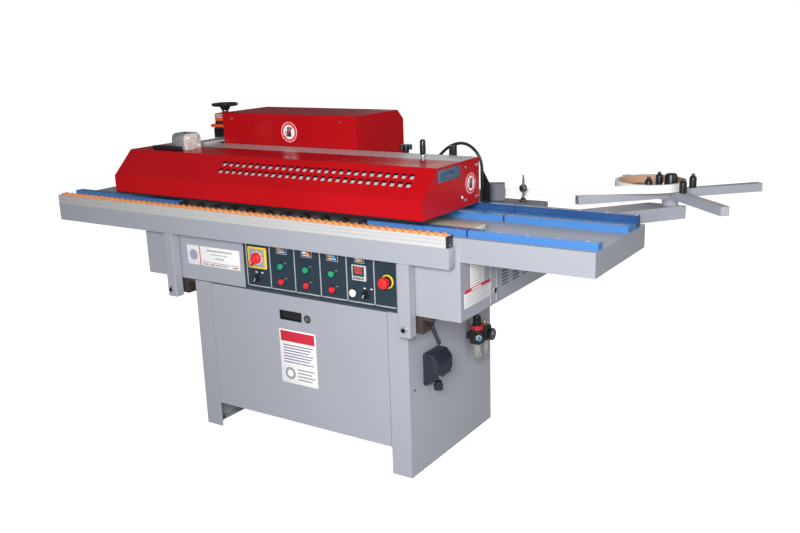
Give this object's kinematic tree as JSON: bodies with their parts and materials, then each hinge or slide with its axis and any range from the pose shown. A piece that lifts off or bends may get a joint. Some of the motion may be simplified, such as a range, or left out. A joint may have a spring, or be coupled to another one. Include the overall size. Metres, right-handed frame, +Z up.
{
  "type": "edge banding machine",
  "caption": "Woodworking edge banding machine: base cabinet, control panel, feed table with guide rails, red pressure and trimming hoods, pull-out roller support and a tape reel on an outrigger",
  "frame": {"origin": "on the floor under the centre of the base cabinet's footprint", "axes": "+X along the machine towards the infeed end, +Y from the operator's side to the back, +Z up"},
  "size_m": [2.5416, 1.2821, 1.2375],
  "materials": {
    "grey_paint": "satin powder coat",
    "red_paint": "semi-gloss powder coat",
    "panel_paint": "dark satin panel",
    "black_board": "matte black",
    "blue_rail": "satin blue",
    "blue_fence": "satin dark blue",
    "black_roller": "dull black",
    "orange_roller": "moulded orange",
    "aluminium": "anodised",
    "ground_steel": "ground and oiled",
    "grey_casting": "cast and milled",
    "dark_steel": "black painted",
    "black_plastic": "moulded black",
    "indicator_orange": "moulded orange",
    "green_button": "moulded green",
    "red_button": "moulded red",
    "white_button": "moulded white",
    "bezel": "moulded bezels",
    "hose_rubber": "matte",
    "tape_white": "edge tape",
    "clear_bowl": "clear plastic bowl"
  },
  "bodies": {
    "frame": {"base_left_side": "grey_paint", "base_right_side": "grey_paint", "base_back_panel": "grey_paint", "cabinet_underlay": "black_board", "cabinet_shell": "grey_paint", "control_panel": "panel_paint", "panel_bezels": "bezel", "temperature_controller": "black_plastic", "table_top": "grey_paint", "outfeed_table": "grey_paint", "extension_table": "grey_paint", "guide_rails": "blue_rail", "infeed_fence": "blue_fence", "track_rollers": "black_roller", "clamp_blocks": "dark_steel", "guide_columns": "dark_steel", "position_indicator": "indicator_orange", "glue_pot": "dark_steel", "trim_motors": "dark_steel", "cable_hose": "hose_rubber", "tape_guide_plate": "grey_casting", "tape_guide_block": "grey_casting", "edge_tape_run": "tape_white", "reel_beam": "grey_paint", "mains_inlet": "black_plastic", "air_unit": "black_plastic", "air_bowls": "clear_bowl"},
    "base_door": {"front_door": "grey_paint"},
    "cabinet_door": {"cabinet_side_door": "grey_paint"},
    "main_switch": {"main_switch_handle": "black_plastic"},
    "left_selector": {"selector_left": "black_plastic"},
    "right_selector": {"selector_right": "black_plastic"},
    "workpiece_support": {"support_beam": "grey_paint", "roller_profile": "aluminium", "support_rollers": "orange_roller", "support_arms": "grey_paint", "slide_bars": "ground_steel"},
    "left_clamp": {"clamp_lever_left": "black_plastic"},
    "right_clamp": {"clamp_lever_right": "black_plastic"},
    "pressure_unit": {"pressure_beam": "grey_paint", "front_hood": "red_paint", "scraper_motor": "aluminium"},
    "lift_drive": {"handwheel": "black_plastic", "lift_spindle": "ground_steel"},
    "beam_lever": {"lever_grip": "black_plastic"},
    "glue_knob": {"star_knob": "black_plastic"},
    "back_hood": {"rear_hood": "red_paint"},
    "reel": {"reel_spider": "grey_paint", "reel_pins": "black_plastic", "edge_tape_coil": "tape_white"},
    "regulator_knob": {"air_knob": "black_plastic"},
    "press_roller": {"pressure_roller": "ground_steel"},
    "emergency_stop": {"estop_mushroom": "red_button"},
    "green_push_1": {"green_button_1": "green_button"},
    "red_push_1": {"red_button_1": "red_button"},
    "green_push_2": {"green_button_2": "green_button"},
    "red_push_2": {"red_button_2": "red_button"},
    "green_push_3": {"green_button_3": "green_button"},
    "red_push_3": {"red_button_3": "red_button"},
    "white_push": {"white_button": "white_button"}
  },
  "joints": [
    {"name": "base_door_hinge", "type": "hinge", "parent": "frame", "child": "base_door", "pos_m": [-0.4065, -0.295, 0.346], "axis": [0, 0, -1], "range_deg": [0, 95]},
    {"name": "cabinet_door_hinge", "type": "hinge", "parent": "frame", "child": "cabinet_door", "pos_m": [0.6965, 0.35, 0.7], "axis": [0, 0, 1], "range_deg": [0, 100]},
    {"name": "main_switch_turn", "type": "hinge", "parent": "frame", "child": "main_switch", "pos_m": [-0.152, -0.304, 0.725], "axis": [0, 1, 0], "range_deg": [-90, 0]},
    {"name": "left_selector_turn", "type": "hinge", "parent": "frame", "child": "left_selector", "pos_m": [-0.156, -0.304, 0.648], "axis": [0, 1, 0], "range_deg": [-45, 45]},
    {"name": "right_selector_turn", "type": "hinge", "parent": "frame", "child": "right_selector", "pos_m": [0.329, -0.304, 0.648], "axis": [0, 1, 0], "range_deg": [-45, 45]},
    {"name": "green_press_1", "type": "slide", "parent": "frame", "child": "green_push_1", "axis": [0, 1, 0], "range_m": [0, 0.003], "stiffness_N_per_m": 1500, "springref_m": -0.001},
    {"name": "red_press_1", "type": "slide", "parent": "frame", "child": "red_push_1", "axis": [0, 1, 0], "range_m": [0, 0.003], "stiffness_N_per_m": 1500, "springref_m": -0.001},
    {"name": "green_press_2", "type": "slide", "parent": "frame", "child": "green_push_2", "axis": [0, 1, 0], "range_m": [0, 0.003], "stiffness_N_per_m": 1500, "springref_m": -0.001},
    {"name": "red_press_2", "type": "slide", "parent": "frame", "child": "red_push_2", "axis": [0, 1, 0], "range_m": [0, 0.003], "stiffness_N_per_m": 1500, "springref_m": -0.001},
    {"name": "green_press_3", "type": "slide", "parent": "frame", "child": "green_push_3", "axis": [0, 1, 0], "range_m": [0, 0.003], "stiffness_N_per_m": 1500, "springref_m": -0.001},
    {"name": "red_press_3", "type": "slide", "parent": "frame", "child": "red_push_3", "axis": [0, 1, 0], "range_m": [0, 0.003], "stiffness_N_per_m": 1500, "springref_m": -0.001},
    {"name": "white_press", "type": "slide", "parent": "frame", "child": "white_push", "axis": [0, 1, 0], "range_m": [0, 0.003], "stiffness_N_per_m": 1500, "springref_m": -0.001},
    {"name": "emergency_press", "type": "slide", "parent": "frame", "child": "emergency_stop", "axis": [0, 1, 0], "range_m": [0, 0.005]},
    {"name": "support_pull", "type": "slide", "parent": "frame", "child": "workpiece_support", "axis": [0, -1, 0], "range_m": [0, 0.38]},
    {"name": "left_clamp_turn", "type": "hinge", "parent": "frame", "child": "left_clamp", "pos_m": [-0.596, -0.26, 0.571], "axis": [1, 0, 0], "range_deg": [-100, 8]},
    {"name": "right_clamp_turn", "type": "hinge", "parent": "frame", "child": "right_clamp", "pos_m": [0.5575, -0.26, 0.571], "axis": [1, 0, 0], "range_deg": [-60, 90]},
    {"name": "beam_lift", "type": "slide", "parent": "frame", "child": "pressure_unit", "axis": [0, 0, 1], "range_m": [-0.008, 0.03]},
    {"name": "handwheel_turn", "type": "hinge", "parent": "frame", "child": "lift_drive", "pos_m": [-0.688, 0.153, 1.231], "axis": [0, 0, 1], "range_deg": [-600, 2200]},
    {"name": "beam_lever_tilt", "type": "hinge", "parent": "pressure_unit", "child": "beam_lever", "pos_m": [0.403, -0.032, 1.0825], "axis": [-1, 0, 0], "range_deg": [0, 22]},
    {"name": "glue_knob_turn", "type": "hinge", "parent": "frame", "child": "glue_knob", "pos_m": [0.241, 0.112, 1.086], "axis": [0, 0, 1], "range_deg": [-720, 720]},
    {"name": "back_hood_hinge", "type": "hinge", "parent": "frame", "child": "back_hood", "pos_m": [-0.271, 0.3706, 0.882], "axis": [-1, 0, 0], "range_deg": [0, 75]},
    {"name": "reel_spin", "type": "hinge", "parent": "frame", "child": "reel", "pos_m": [1.062, 0.657, 0.88], "axis": [0, 0, 1], "continuous": true, "deforming": ["edge_tape_run"]},
    {"name": "regulator_turn", "type": "hinge", "parent": "frame", "child": "regulator_knob", "pos_m": [0.5245, 0.122, 0.465], "axis": [0, 0, 1], "range_deg": [-720, 720]},
    {"name": "press_roller_spin", "type": "hinge", "parent": "frame", "child": "press_roller", "pos_m": [0.11, 0.1, 0.92], "axis": [0, 0, 1], "continuous": true}
  ],
  "couplings": [
    {"joint": "handwheel_turn", "follows": "beam_lift", "rad_per_m": 1256.6}
  ]
}
